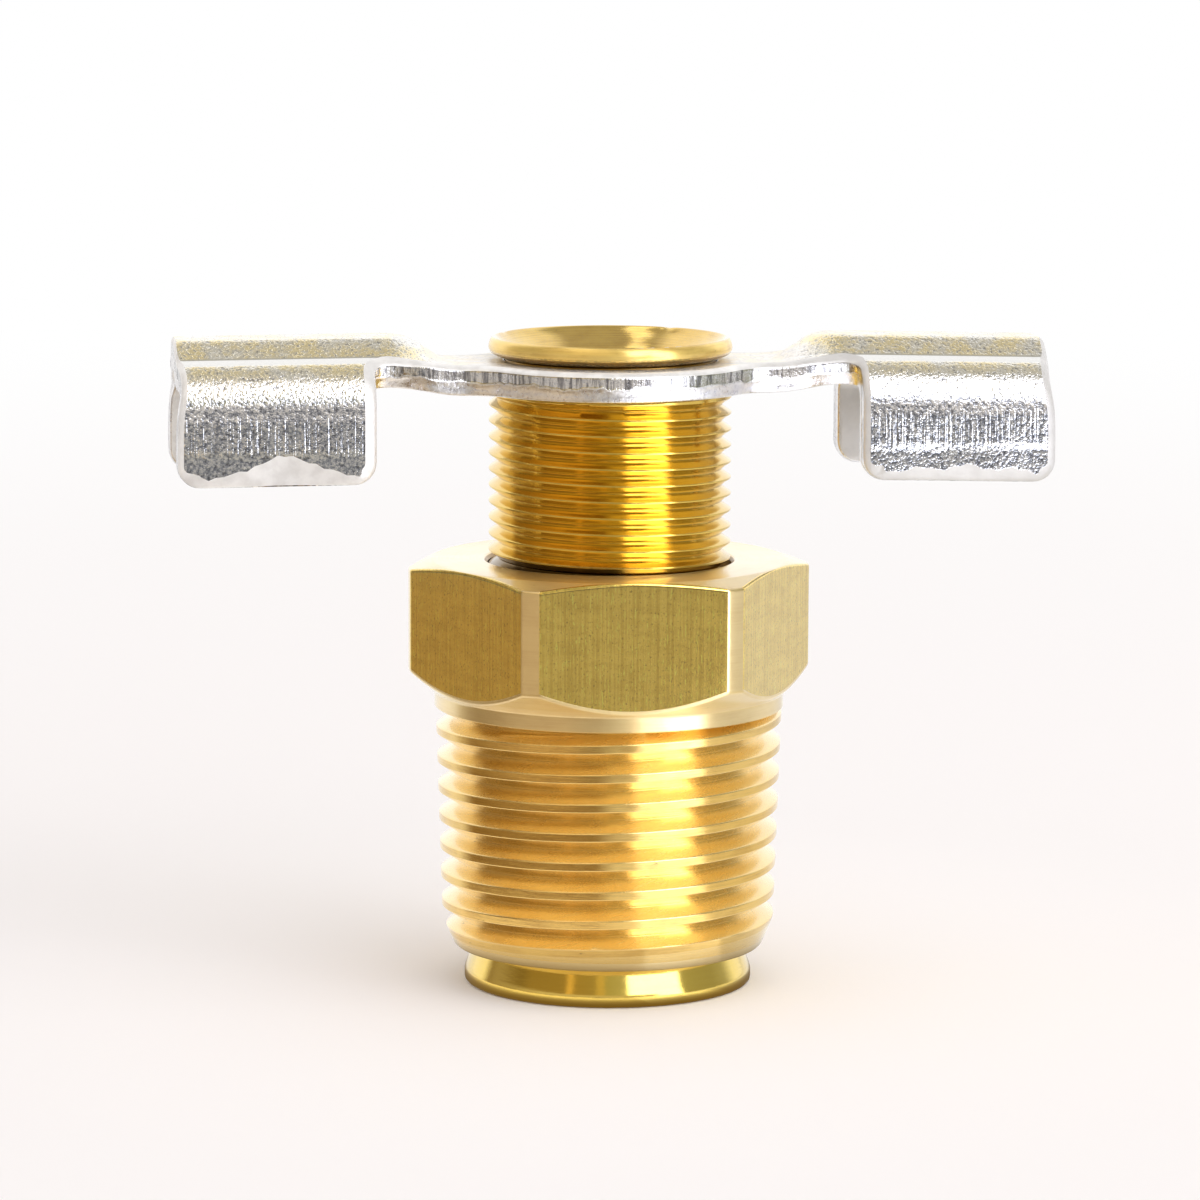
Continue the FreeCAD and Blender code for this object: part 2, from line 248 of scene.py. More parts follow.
def zinc_face(name):
    """Bright zinc plate over a bent sheet: grainy sparkle, bending drag lines, warm passivation tint."""
    m, nt, b = new_material(name)
    c = Coords(nt)
    ay = math_node(nt, "ABSOLUTE", c.y)
    streak = noise(nt, c.scaled(4.6, 0.4, 0.16), 1.0, 2.0, 0.6)
    speck = noise(nt, c.v, 5.2, 2.0, 0.6)
    blot = noise(nt, c.v, 0.55, 3.0, 0.6)
    side = ramp(nt, ay, 5.28, 5.45)                                      # the folded flange
    drag = math_node(nt, "MULTIPLY", band_of(nt, c.z, 33.9, 36.1, 0.35), side)
    flat = ramp(nt, c.r, 12.6, 10.8)                                     # ring and necks keep the mill's face
    ledge = math_node(nt, "MULTIPLY", band_of(nt, ay, 2.9, 3.75, 0.10), ramp(nt, c.z, 38.6, 38.9))
    plain = math_node(nt, "MAXIMUM", math_node(nt, "MULTIPLY", flat, 0.55), math_node(nt, "MULTIPLY", ledge, 0.92))
    coarse = math_node(nt, "SUBTRACT", 1.0, plain)
    high = math_node(nt, "MULTIPLY", ramp(nt, c.z, 37.9, 39.0), coarse)
    gold = math_node(nt, "MULTIPLY", high, ramp(nt, blot, 0.38, 0.60, 0.15, 1.0))
    # painted shade: the folded flanges get a darker, bluer base colour than the top face
    shade = mix_color(nt, side, (0.82, 0.825, 0.835), (0.52, 0.55, 0.61))
    col = mix_color(nt, ramp(nt, speck, 0.42, 0.60), shade, (0.95, 0.955, 0.965))
    col = mix_color(nt, math_node(nt, "MULTIPLY", gold, ramp(nt, speck, 0.38, 0.54, 0.35, 0.9)), col, (1.0, 0.87, 0.54))
    pits = math_node(nt, "MULTIPLY", ramp(nt, speck, 0.42, 0.34, 0.0, 0.8), math_node(nt, "SUBTRACT", coarse, math_node(nt, "MULTIPLY", high, 0.35)))
    col = mix_color(nt, pits, col, (0.20, 0.20, 0.22))
    col = mix_color(nt, math_node(nt, "MULTIPLY", ledge, 0.8), col, (0.74, 0.74, 0.73))
    feed(nt, b.inputs["Base Color"], col)
    feed(nt, b.inputs["Metallic"], math_node(nt, "SUBTRACT", 1.0, math_node(nt, "MULTIPLY", flat, 0.45)))
    r = math_node(nt, "ADD", math_node(nt, "MULTIPLY", blot, 0.10), math_node(nt, "MULTIPLY", flat, 0.26))
    feed(nt, b.inputs["Roughness"], math_node(nt, "ADD", r, 0.08))
    n1 = bump(nt, math_node(nt, "MULTIPLY", streak, math_node(nt, "ADD", math_node(nt, "MULTIPLY", drag, 0.96), 0.04)), 1.0, 0.00008)
    calm = math_node(nt, "SUBTRACT", coarse, math_node(nt, "MULTIPLY", side, 0.45))
    n2 = bump(nt, math_node(nt, "MULTIPLY", speck, calm), 1.0, 0.00005, n1)
    nt.links.new(n2, b.inputs["Normal"])
    return m


def zinc_roll(name):
    """Rounded edge of the stamping: the same plate, drawn smooth."""
    m, nt, b = new_material(name)
    c = Coords(nt)
    fine = noise(nt, c.v, 5.0, 2.0, 0.6)
    blot = noise(nt, c.v, 0.9, 3.0, 0.6)
    col = mix_color(nt, ramp(nt, blot, 0.35, 0.65), (0.78, 0.775, 0.765), (0.90, 0.90, 0.89))
    # the rolled edge is darker on the wing towards +X
    col = mix_color(nt, ramp(nt, c.x, 6.0, 14.0, 0.0, 0.55), col, (0.56, 0.555, 0.55))
    feed(nt, b.inputs["Base Color"], col)
    b.inputs["Metallic"].default_value = 0.3
    feed(nt, b.inputs["Roughness"], math_node(nt, "ADD", math_node(nt, "MULTIPLY", fine, 0.20), 0.30))
    nt.links.new(bump(nt, fine, 0.15, 0.00005), b.inputs["Normal"])
    return m


def band_of(nt, v, a, b, soft):
    return math_node(nt, "MULTIPLY", ramp(nt, v, a - soft, a + soft), ramp(nt, v, b - soft, b + soft, 1.0, 0.0))


def zinc_edge(name, smooth):
    """Edge of the blanked sheet: a burnished band with marks through the thickness, then the torn band."""
    m, nt, b = new_material(name)
    c = Coords(nt)
    streak = noise(nt, c.scaled(4.0, 4.0, 0.4), 1.0, 4.0, 0.7)
    grain = noise(nt, c.v, 4.0, 3.0, 0.65)
    if smooth:
        col = mix_color(nt, ramp(nt, streak, 0.36, 0.58), (0.26, 0.26, 0.28), (0.84, 0.845, 0.86))
    else:
        col = mix_color(nt, ramp(nt, grain, 0.35, 0.62), (0.78, 0.78, 0.83), (0.95, 0.95, 0.97))
    feed(nt, b.inputs["Base Color"], col)
    b.inputs["Metallic"].default_value = 1.0
    lo, span = (0.08, 0.14) if smooth else (0.16, 0.30)
    feed(nt, b.inputs["Roughness"], math_node(nt, "ADD", math_node(nt, "MULTIPLY", grain, span), lo))
    n1 = bump(nt, streak, 0.5 if smooth else 0.3, 0.00005)
    n2 = bump(nt, grain, 0.4 if smooth else 0.6, 0.00006, n1)
    nt.links.new(n2, b.inputs["Normal"])
    return m


M_TURNED = brass_turned("brass_turned", (0.95, 0.75, 0.37), (0.82, 0.60, 0.27), 0.36, 0.25, 0.6, 0.85, 0.25)
M_HEX = brass_drawn("brass_drawn", (0.98, 0.72, 0.15), (0.76, 0.53, 0.09), 0.08)
M_PIPE = brass_turned("brass_pipe_thread", (0.95, 0.69, 0.25), (0.87, 0.58, 0.16), 0.26, 0.20, 0.6, 0.8, 0.6)
# painted shade: the thread crests get darker brass with heavy dark mottling for the dark room they mirror
M_SHADED_CREST = brass_turned("brass_thread_crest_painted_shade", (0.92, 0.64, 0.20), (0.68, 0.43, 0.12), 0.20, 0.20, 0.8, 0.6, 0.9, 0.4)
# painted shade: bores, the mouth and the underside of the lip get dark, dull brass
M_SHADED_BORE = brass_turned("brass_bore_painted_shade", (0.42, 0.26, 0.07), (0.24, 0.14, 0.03), 0.30, 0.35, 0.5, 0.0, 0.5, 0.3)
M_STEM = brass_turned("brass_stem_thread", (0.80, 0.55, 0.10), (0.66, 0.42, 0.06), 0.16, 0.15, 0.5, 0.0, 0.5, 0.45, 1.0, 26.95)
M_PLUG = brass_turned("brass_polished", (0.88, 0.64, 0.12), (0.78, 0.54, 0.08), 0.11, 0.10, 0.4, 0.0, 0.2, 0.75)
M_LIP = brass_turned("brass_lip", (0.82, 0.57, 0.14), (0.56, 0.34, 0.07), 0.10, 0.20, 0.7)
M_RIM = brass_turned("brass_lip_edge", (0.95, 0.69, 0.20), (0.64, 0.41, 0.09), 0.34, 0.35, 0.85, 0.85, 0.6, 0.5, 0.7)
M_ZINC = zinc_face("zinc_face")
M_ROLL = zinc_roll("zinc_rolled_edge")
M_SHEAR = zinc_edge("zinc_burnished_edge", True)
M_TORN = zinc_edge("zinc_torn_edge", False)


# ------------------------------------------------------------------ mesh builders
class Turned:
    """A solid built from rings of points round the Z axis; sizes in millimetres."""

    def __init__(self, thetas):
        self.th = np.asarray(thetas)
        self.n = len(self.th)
        self.cos, self.sin = np.cos(self.th), np.sin(self.th)
        self.verts, self.faces, self.slots = [], [], []

    def ring(self, r, z):
        r = np.broadcast_to(np.asarray(r, float), (self.n,))
        z = np.broadcast_to(np.asarray(z, float), (self.n,))
        first = len(self.verts)
        self.verts.extend(zip(r * self.cos, r * self.sin, z))
        return list(range(first, first + self.n))

    def face(self, ids, slot):
        out = []
        for i in ids:
            if i not in out:
                out.append(i)
        if len(out) > 2:
            self.faces.append(out)
            self.slots.append(slot)

    def skin(self, a, b, slot):
        for i in range(self.n):
            k = (i + 1) % self.n
            self.face((a[i], a[k], b[k], b[i]), slot(i) if callable(slot) else slot)

    def pole(self, ring, z, slot, last):
        self.verts.append((0.0, 0.0, z))
        c = len(self.verts) - 1
        for i in range(self.n):
            k = (i + 1) % self.n
            self.face((ring[i], ring[k], c) if last else (c, ring[k], ring[i]), slot)

    def profile(self, start, points, close=None):
        """Lofts rings along corners (r, z, setback, slot); returns the last ring.
        A corner with a setback is rounded. slot belongs to the stretch that ends there."""
        pts = [[np.broadcast_to(np.asarray(v, float), (self.n,)) for v in p[:2]] for p in points]
        prev = start
        for k, p in enumerate(points):
            here = np.array(pts[k])
            d, slot = p[2], p[3]
            rows = [here]
            if d > 0 and 0 < k < len(points) - 1:
                a, c = np.array(pts[k - 1]) - here, np.array(pts[k + 1]) - here
                la, lc = (np.maximum(np.linalg.norm(v, axis=0), 1e-9) for v in (a, c))
                a, c = a / la, c / lc
                t1, t2 = here + a * np.minimum(d, 0.42 * la), here + c * np.minimum(d, 0.42 * lc)
                rows = [(1 - t) ** 2 * t1 + 2 * t * (1 - t) * here + t * t * t2 for t in np.linspace(0, 1, 5)]
                # one more row on each side keeps the stretches between corners flat
                rows = [here + a * np.minimum(d + 0.06, 0.48 * la)] + rows + [here + c * np.minimum(d + 0.06, 0.48 * lc)]
            for row in rows:
                ring = self.ring(row[0], row[1])
                if prev is not None:
                    self.skin(prev, ring, slot)
                prev = ring
        if close is not None:
            self.skin(prev, close, points[-1][3])
        return prev

    def helix(self, pitch, hand, z_ref, offsets, lo, hi, radius, slot):
        """Helical rows between the heights lo and hi. offsets are the heights of the
        rows of one pitch; radius(theta, z) gives the surface. Returns the end rings."""
        k = len(offsets)
        turns = int(math.ceil((hi - lo) / pitch)) + 3
        first = int(math.floor((lo - z_ref) / pitch)) - 2
        rows = [off + pitch * (first + t) for t in range(turns + 2) for off in offsets]
        lo_ring = self.ring(radius(self.th, np.full(self.n, lo)), lo)
        hi_ring = self.ring(radius(self.th, np.full(self.n, hi)), hi)
        ids = np.zeros((self.n, len(rows)), int)
        for i in range(self.n):
            th = self.th[i]
            zs = np.array([z_ref + hand * pitch * th / (2 * math.pi) + r for r in rows])
            inside = (zs > lo + 1e-4) & (zs < hi - 1e-4)
            rr = radius(np.full(len(zs), th), np.clip(zs, lo, hi))
            for j in range(len(rows)):
                if inside[j]:
                    self.verts.append((rr[j] * self.cos[i], rr[j] * self.sin[i], zs[j]))
                    ids[i, j] = len(self.verts) - 1
                else:
                    ids[i, j] = lo_ring[i] if zs[j] <= lo + 1e-4 else hi_ring[i]
        last = len(rows) - 1
        for i in range(self.n):
            nxt = (i + 1) % self.n
            shift = k * hand if nxt == 0 else 0
            for j in range(last):
                a, b = j + shift, j + 1 + shift
                if a < 0:
                    p, q = lo_ring[nxt], lo_ring[nxt]
                elif b > last:
                    p, q = hi_ring[nxt], hi_ring[nxt]
                else:
                    p, q = ids[nxt, a], ids[nxt, b]
                self.face((ids[i, j], p, q, ids[i, j + 1]), slot(j % k) if callable(slot) else slot)
        return lo_ring, hi_ring


def make_object(name, verts, faces, slots, materials, sharp=34.0):
    mesh = bpy.data.meshes.new(name)
    mesh.from_pydata([tuple(MM * v for v in p) for p in verts], [], [list(map(int, f)) for f in faces])
    for m in materials:
        mesh.materials.append(m)
    mesh.polygons.foreach_set("material_index", np.asarray(slots, dtype=np.int32))
    bm = bmesh.new()
    bm.from_mesh(mesh)
    bmesh.ops.remove_doubles(bm, verts=bm.verts, dist=1e-7)
    bmesh.ops.dissolve_degenerate(bm, edges=bm.edges, dist=1e-7)
    loose = [v for v in bm.verts if not v.link_faces]
    bmesh.ops.delete(bm, geom=loose, context="VERTS")
    finish_bmesh(bm, mesh, sharp)
    obj = bpy.data.objects.new(name, mesh)
    scene.collection.objects.link(obj)
    return obj


def finish_bmesh(bm, mesh, sharp):
    limit = math.radians(sharp)
    for f in bm.faces:
        f.smooth = True
    for e in bm.edges:
        if len(e.link_faces) == 2:
            e.smooth = e.calc_face_angle(0.0) < limit
    bm.to_mesh(mesh)
    bm.free()
    mesh.update()


def smoothstep(a, b, x):
    t = np.clip((np.asarray(x, float) - a) / (b - a), 0.0, 1.0)
    return t * t * (3 - 2 * t)


# ------------------------------------------------------------------ valve body
HALF_FLATS, CORNER_R = 11.1125, 12.5
EDGE = math.degrees(math.acos(HALF_FLATS / CORNER_R))
half_sector = np.concatenate([np.linspace(0, 25.6, 13), EDGE + np.array([-0.9, -0.45, -0.15, 0.15, 0.45, 0.9]),
                              [EDGE + 1.6, 29.3]])
sector = np.concatenate([-half_sector[:0:-1], half_sector, [30.0]])
BODY_TH = np.radians(np.concatenate([sector + 30.0 + 60.0 * k for k in range(6)]))
BODY_TH = np.sort(np.mod(BODY_TH, 2 * math.pi))

local = np.mod(np.degrees(BODY_TH), 60.0) - 30.0
flat_r = HALF_FLATS / np.cos(np.radians(local))
soft = 0.05
hex_r = 0.5 * (flat_r + CORNER_R - np.sqrt((flat_r - CORNER_R) ** 2 + soft ** 2))
hex_low = 18.35 + (hex_r - 10.85) * 0.842
hex_top = 26.56 - (hex_r - 11.0) * 0.32

# the corners are turned, like the chamfers, and only the flats keep the drawn face
mid = np.degrees(0.5 * (BODY_TH + np.append(BODY_TH[1:], BODY_TH[0] + 2 * math.pi)))
on_corner = np.abs(np.mod(mid, 60.0) - 30.0) > EDGE

PITCH = 1.8143
CREST_REF = 5.487 - PITCH * CAM_AZ / (2 * math.pi)     # height of a crest at azimuth 0


def pipe_radius(th, z):
    crest = 10.53 + (z - 9.66) / 32.0
    lead = 9.65 + (z - 2.43) * 0.4011
    u = (z - CREST_REF) / PITCH - th / (2 * math.pi)          # crests at whole numbers
    off = np.abs(u - np.round(u)) * PITCH                     # distance from the crest's middle
    depth = np.interp(off, [0.0, 0.21, 0.235, 0.265, 0.30, 0.57, 0.84, 0.907],
                      [0.0, 0.0, 0.006, 0.028, 0.072, 0.495, 0.91, 0.96])
    # the groove starts on the lead-in and runs out under the collar
    groove = np.round(u - 0.5) + 0.5                          # index of the nearest groove
    along = groove + th / (2 * math.pi)
    start = CAM_AZ / (2 * math.pi) - 0.5
    along = along - start
    depth = depth * smoothstep(-0.80, -0.25, along) * (1 - smoothstep(7.15, 7.75, along))
    return np.minimum(crest - depth, lead)


body = Turned(BODY_TH)
OFFS = [0.0, 0.195, 0.21, 0.235, 0.265, 0.30, 0.32, 0.57, 0.84, 0.907]
OFFS = OFFS + [PITCH - o for o in OFFS[-2:0:-1]]
LO, HI = 3.0, 17.4
CREST_ROWS = (0, 1, len(OFFS) - 2, len(OFFS) - 1)
lo_ring, hi_ring = body.helix(PITCH, 1, CREST_REF, OFFS, LO, HI, pipe_radius, lambda j: 4 if j in CREST_ROWS else 1)
first = body.ring(8.40, 2.43)
end = body.profile(first, [
    (9.45, 2.43, 0, 0), (9.58, 2.46, 0, 0), (9.68, 2.56, 0, 0),
])
body.skin(end, lo_ring, 0)
tail = body.profile(hi_ring, [
    (10.78, 17.40, 0, 0),
    (10.85, 17.47, 0, 0),
    (10.85, 18.35, 0.10, 0),
    (hex_r, hex_low, 0.14, 0),
    (hex_r, hex_top, 0.14, lambda i: 0 if on_corner[i] else 2),
    (11.0, 26.56, 0.10, 0),
    (7.80, 26.56, 0.04, 0),
    (7.55, 26.31, 0.04, 3),
    (7.55, 4.765, 0.0, 3),
])
body.skin(tail, first, 0)
body_obj = make_object("body_turned", body.verts, body.faces, body.slots, [M_TURNED, M_PIPE, M_HEX, M_SHADED_BORE, M_SHADED_CREST])
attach(body_obj, "valve_body")
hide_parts("valve_body")

# ------------------------------------------------------------------ stem
STEM_TH = np.linspace(0, 2 * math.pi, 192, endpoint=False)
STEM_PITCH = 1.0
STEM_REF = 30.955 + STEM_PITCH * CAM_AZ / (2 * math.pi)     # left-hand thread


def stem_radius(th, z):
    u = (z - STEM_REF) / STEM_PITCH + th / (2 * math.pi)
    off = np.abs(u - np.round(u)) * STEM_PITCH
    depth = np.interp(off, [0.0, 0.05, 0.12, 0.25, 0.42, 0.5], [0.0, 0.01, 0.10, 0.29, 0.53, 0.57])
    fade = smoothstep(13.2, 14.2, z) * (1 - smoothstep(36.55, 37.0, z))
    return 7.5 - 0.18 * (1 - smoothstep(13.2, 14.2, z)) - depth * fade


stem = Turned(STEM_TH)
OFFS = [0.0, 0.05, 0.12, 0.25, 0.42, 0.5]
OFFS = OFFS + [STEM_PITCH - o for o in OFFS[-2:0:-1]]
s_lo, s_hi = stem.helix(STEM_PITCH, -1, STEM_REF, OFFS, 13.2, 36.95, stem_radius, 1)
base = stem.ring(4.0, 0.0)
stem.pole(base, 0.0, 0, False)
up = stem.profile(base, [
    (8.6, 0.0, 0, 0), (8.83, 0.06, 0, 0), (8.93, 0.17, 0, 0), (8.95, 0.30, 0, 0),
    (8.95, 0.72, 0, 0), (8.92, 0.85, 0, 0), (8.86, 1.05, 0, 0),
    (6.40, 7.80, 0.12, 0), (6.40, 12.40, 0.12, 0), (7.20, 13.15, 0, 0),
])
stem.skin(up, s_lo, 1)
# a few small chips in the rim of the lip
CHIP = sum(d * np.exp(-((np.mod(STEM_TH - t + math.pi, 2 * math.pi) - math.pi) / w) ** 2)
           for t, d, w in ((-1.28, 0.16, 0.035), (-1.16, 0.11, 0.030), (-1.40, 0.08, 0.030), (0.9, 0.07, 0.04), (2.6, 0.06, 0.05)))
top = stem.profile(s_hi, [
    (7.30, 37.10, 0.05, 1), (6.50, 37.10, 0.0, 1), (6.50, 39.00, 0.0, 3),
    (6.75, 39.10, 0, 2), (7.05, 39.22, 0, 2), (7.25, 39.32, 0, 2), (7.37, 39.40, 0, 3), (7.45, 39.49, 0, 3),
    (7.50, 39.60, 0, 2), (7.52, 39.72, 0, 4), (7.51, 39.86, 0, 4), (7.48, 40.00, 0, 4), (7.43, 40.13, 0, 4),
    (7.36, 40.24, 0, 4), (7.28, 40.31, 0, 4), (7.20, 40.35 - CHIP, 0, 2), (7.13, 40.34 - CHIP, 0, 2),
    (7.06, 40.28 - 0.6 * CHIP, 0, 2),
    (6.92, 40.12, 0, 2),
    (6.62, 39.84, 0, 2), (6.27, 39.56, 0, 2), (5.92, 39.29, 0, 2), (5.58, 39.00, 0, 2), (5.20, 38.60, 0, 2),
    (4.90, 38.25, 0, 2), (4.75, 37.85, 0, 2), (4.75, 37.0, 0, 3), (4.75, 6.5, 0, 3),
    (1.5, 4.55, 0, 3),
])
stem.pole(top, 3.65, 3, True)
stem_obj = make_object("stem_turned", stem.verts, stem.faces, stem.slots, [M_PLUG, M_STEM, M_LIP, M_SHADED_BORE, M_RIM])

# cross-drilled port through the relieved neck
tool_mesh = bpy.data.meshes.new("port_tool")
bm = bmesh.new()
bmesh.ops.create_cone(bm, cap_ends=True, segments=48, radius1=1.9 * MM, radius2=1.9 * MM, depth=20 * MM,
                      matrix=Matrix.Translation((0, 0, 10.1 * MM)) @ Matrix.Rotation(math.pi / 2, 4, "X"))
bm.to_mesh(tool_mesh)
bm.free()
for m in (M_PLUG, M_STEM, M_LIP, M_SHADED_BORE, M_RIM):
    tool_mesh.materials.append(m)
for p in tool_mesh.polygons:
    p.material_index = 3
tool = bpy.data.objects.new("port_tool", tool_mesh)
scene.collection.objects.link(tool)
cut = stem_obj.modifiers.new("port", "BOOLEAN")
cut.operation = "DIFFERENCE"
cut.solver = "EXACT"
cut.object = tool
graph = bpy.context.evaluated_depsgraph_get()
drilled = bpy.data.meshes.new_from_object(stem_obj.evaluated_get(graph))
stem_obj.modifiers.clear()
old = stem_obj.data
stem_obj.data = drilled
bpy.data.meshes.remove(old)
bpy.data.objects.remove(tool)
bpy.data.meshes.remove(tool_mesh)
bm = bmesh.new()
bm.from_mesh(drilled)
finish_bmesh(bm, drilled, 34.0)
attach(stem_obj, "stem")
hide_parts("stem")

# ------------------------------------------------------------------ handle
SHEET, RING_TOP, RISE = 1.8, 38.95, 0.4
FLAT, BEND = 2.5, 3.0
ARC = 0.5 * math.pi * BEND
FLANGE = RING_TOP + RISE - BEND - 31.8
REACH = FLAT + ARC + FLANGE
WIN, WOUT = 14.9, 27.0


def rounded(xs, ys, soft):
    """A broken line through the given points with its corners rounded off."""
    t = np.linspace(-1.0, 6.0, 2801)
    v = np.interp(t, xs, ys)
    k = max(1, int(soft / (t[1] - t[0])))
    kernel = np.hanning(2 * k + 3)
    pad = np.pad(v, k + 1, mode="edge")
    return t, np.convolve(pad, kernel / kernel.sum(), mode="valid")


BEAD_IN, NOSE = 14.5, 0.69           # the nose of the bead is drawn out lengthwise
BEAD = rounded([0.0, 1.5, 2.95, 6.0], [1.08, 1.08, 0.0, 0.0], 0.32)
FLUTE = rounded([0.0, 1.2, 2.4, 6.0], [0.90, 0.90, 0.0, 0.0], 0.32)


def on_sheet(x, s, d):
    """Folds the flat blank: x along the handle, s across it, d below the top face."""
    x, s, d = np.asarray(x, float), np.asarray(s, float), np.asarray(d, float)
    ax, a = np.abs(x), np.abs(s)
    top = RING_TOP + RISE * smoothstep(9.6, 14.0, ax)
    # the wings droop a little outwards, the left one sits a little higher
    free = np.maximum(ax - 9.6, 0.0)
    top = top - 0.016 * (np.maximum(ax - 14.0, 0.0) - 6.5 * smoothstep(9.6, 14.0, ax)) - 0.0070 * np.sign(x) * free
    ang = np.clip((a - FLAT) / ARC, 0.0, 1.0) * 0.5 * math.pi
    down = np.maximum(a - FLAT - ARC, 0.0)
    y_b = np.where(a < FLAT, a, FLAT + (BEND - d) * np.sin(ang))
    z_b = np.where(a < FLAT, -d, -BEND + (BEND - d) * np.cos(ang) - down)
    # slight waves left by the folding die
    y_b = y_b + 0.030 * np.sin(0.95 * x + 0.8 * np.sign(s)) * smoothstep(0.5, 3.0, down)
    w = smoothstep(11.5, 13.0, ax)
    y = a + (y_b - a) * w
    z = top + (-d) * (1 - w) + z_b * w
    # bead pressed up along the wing, flute under it
    t = np.hypot(NOSE * np.maximum(BEAD_IN - ax, 0.0), a)
    lift = np.interp(t, *BEAD) * (1 - d / SHEET) + np.interp(t, *FLUTE) * (d / SHEET)
    z = z + np.where(ax > 9.0, lift, 0.0)
    return np.stack([x, y * np.sign(s), z], axis=-1)


def arc(cx, cy, r, a0, a1, n):
    t = np.radians(np.linspace(a0, a1, n))
    return [(cx + r * math.cos(v), cy + r * math.sin(v)) for v in t]


def line(a, b, step=0.45):
    n = max(2, int(math.hypot(b[0] - a[0], b[1] - a[1]) / step))
    return [(a[0] + (b[0] - a[0]) * k / n, a[1] + (b[1] - a[1]) * k / n) for k in range(n)]


def end_x(s):
    """The wing's outer end draws in a little where the sheet is bent."""
    a = abs(s)
    return WOUT - 0.28 * math.exp(-((a - 5.2) / 1.9) ** 2)


NECK, RING_R, HOLE_R, NF, CF, RF = 3.6, 8.7, 6.55, 3.0, 1.4, 0.9
fx = math.sqrt((RING_R + NF) ** 2 - (NECK + NF) ** 2)
fa = math.degrees(math.atan2(NECK + NF, fx))
# first quadrant, from the middle of the outer end round to the top of the ring
quad = []
ss = np.linspace(0.0, REACH - CF, 34)[:-1]
quad += [(end_x(v), v) for v in ss]
quad += arc(WOUT - CF, REACH - CF, CF, 0, 90, 9)
quad += line((WOUT - CF, REACH), (WIN + CF, REACH))[1:]
quad += arc(WIN + CF, REACH - CF, CF, 90, 180, 9)
quad += line((WIN, REACH - CF), (WIN, NECK + RF))[1:]
quad += arc(WIN - RF, NECK + RF, RF, 0, -90, 7)
quad += line((WIN - RF, NECK), (fx, NECK))[1:]
quad += arc(fx, NECK + NF, NF, 270, 180 + fa, 10)
quad += arc(0, 0, RING_R, fa, 90, 22)[1:]
q1 = quad
q2 = [(-x, s) for x, s in reversed(quad[:-1])]
q3 = [(-x, -s) for x, s in quad[1:]]
q4 = [(x, -s) for x, s in reversed(quad[1:-1])]
outline = np.array(q1 + q2 + q3 + q4)
hole = np.array(arc(0, 0, HOLE_R, 0, 360, 97)[:-1])


def outward(loop, sign):
    t = np.roll(loop, -1, axis=0) - np.roll(loop, 1, axis=0)
    t /= np.linalg.norm(t, axis=1)[:, None]
    return sign * np.stack([t[:, 1], -t[:, 0]], axis=1)


out_n, hole_n = outward(outline, 1.0), outward(hole, -1.0)
# die roll along the upper edge of the blank: wider at the lower edge of the flanges
mid = np.sign(outline[:, 0]) * (np.abs(outline[:, 0]) - 20.95)
low = smoothstep(REACH - 1.2, REACH - 0.1, np.abs(outline[:, 1]))
tip = smoothstep(26.3, 26.7, np.abs(outline[:, 0])) * (1 - low)
ROLL_W = 0.46 + 0.26 * smoothstep(10.5, 13.5, np.abs(outline[:, 0])) + low * (
    np.where(outline[:, 0] < 0, 1.05, 0.22) * np.exp(-((mid - 0.5) / 2.3) ** 4)
    + 0.16 * np.sin(2.1 * outline[:, 0] + 0.7) + 0.08 * np.sin(5.3 * outline[:, 0]))
inner = (1 - smoothstep(15.2, 15.6, np.abs(outline[:, 0]))) * smoothstep(14.6, 14.9, np.abs(outline[:, 0])) * (1 - low)
ROLL_W = ROLL_W * (1 - 0.45 * inner * (outline[:, 0] > 0)) * (1 - tip * np.where(outline[:, 0] < 0, 0.5, 0.25) - 0.3 * tip * (1 - smoothstep(2.5, 3.4, np.abs(outline[:, 1]))))
TEAR = 1.00 + 0.09 * np.sin(2.3 * outline[:, 0] + 1.1 * outline[:, 1]) + 0.06 * np.sin(
    6.1 * outline[:, 0] - 4.0 * outline[:, 1]) + 0.05 * np.sin(11.0 * outline[:, 0] + 7.0 * outline[:, 1])
ROLL = [(1.05, 0.0), (1.0, 0.0), (0.985, 0.002), (0.96, 0.008), (0.75, 0.055), (0.5, 0.12), (0.28, 0.185), (0.12, 0.25), (0.04, 0.31)]
STEEP = np.clip(ROLL_W / 0.72, 0.6, 2.2)
rows = [(ROLL_W * w + 0.04, d * (STEEP * w ** 0.5 + 1.0 - w ** 0.5)) for w, d in ROLL]
rows += [(0.04, 0.40), (0.04, TEAR - 0.14), (0.02, TEAR - 0.06), (0.0, TEAR - 0.01), (0.0, TEAR + 0.05), (0.04, TEAR + 0.12),
         (0.06, 1.45), (0.06, SHEET - 0.12), (0.09, SHEET - 0.04), (0.16, SHEET)]
hole_rows = [(0.12, 0.0), (0.03, 0.04), (0.0, 0.14), (0.0, SHEET - 0.14), (0.03, SHEET - 0.04), (0.12, SHEET)]


def inside_grid():
    """Points across the blank, closer together over the bead and the bends."""
    half = np.array([0.0, 0.5, 0.95, 1.2, 1.38, 1.55, 1.75, 2.05, 2.35, 2.6, 2.8, 2.95, 3.1, 3.3, 3.6, 3.95, 4.35, 4.75,
                     5.15, 5.55, 5.95, 6.35, 6.75, 7.2, 7.7, 8.2, 8.7, 9.2, 9.7, 10.2, 10.7, 11.2, 11.7, 12.1])
    across = np.concatenate([-half[:0:-1], half])
    pts = [(sx * x, v) for x in np.arange(BEAD_IN, 26.9, 0.42) for v in across for sx in (-1, 1)]
    # round the noses of the beads the points follow the slope
    for sx in (-1, 1):
        for r in half[1:18]:
            n = max(6, int(math.pi * r / 0.30))
            for k in range(1, n):
                a = math.pi * (0.5 + k / n)
                pts.append((sx * (BEAD_IN + r * math.cos(a) / NOSE), r * math.sin(a)))
    for x in np.arange(-9.8, 9.81, 0.42):
        for v in np.arange(-8.4, 8.41, 0.42):
            if math.hypot(NOSE * (BEAD_IN - abs(x)), v) > 4.9:
                pts.append((x, v))
    return np.array(pts)


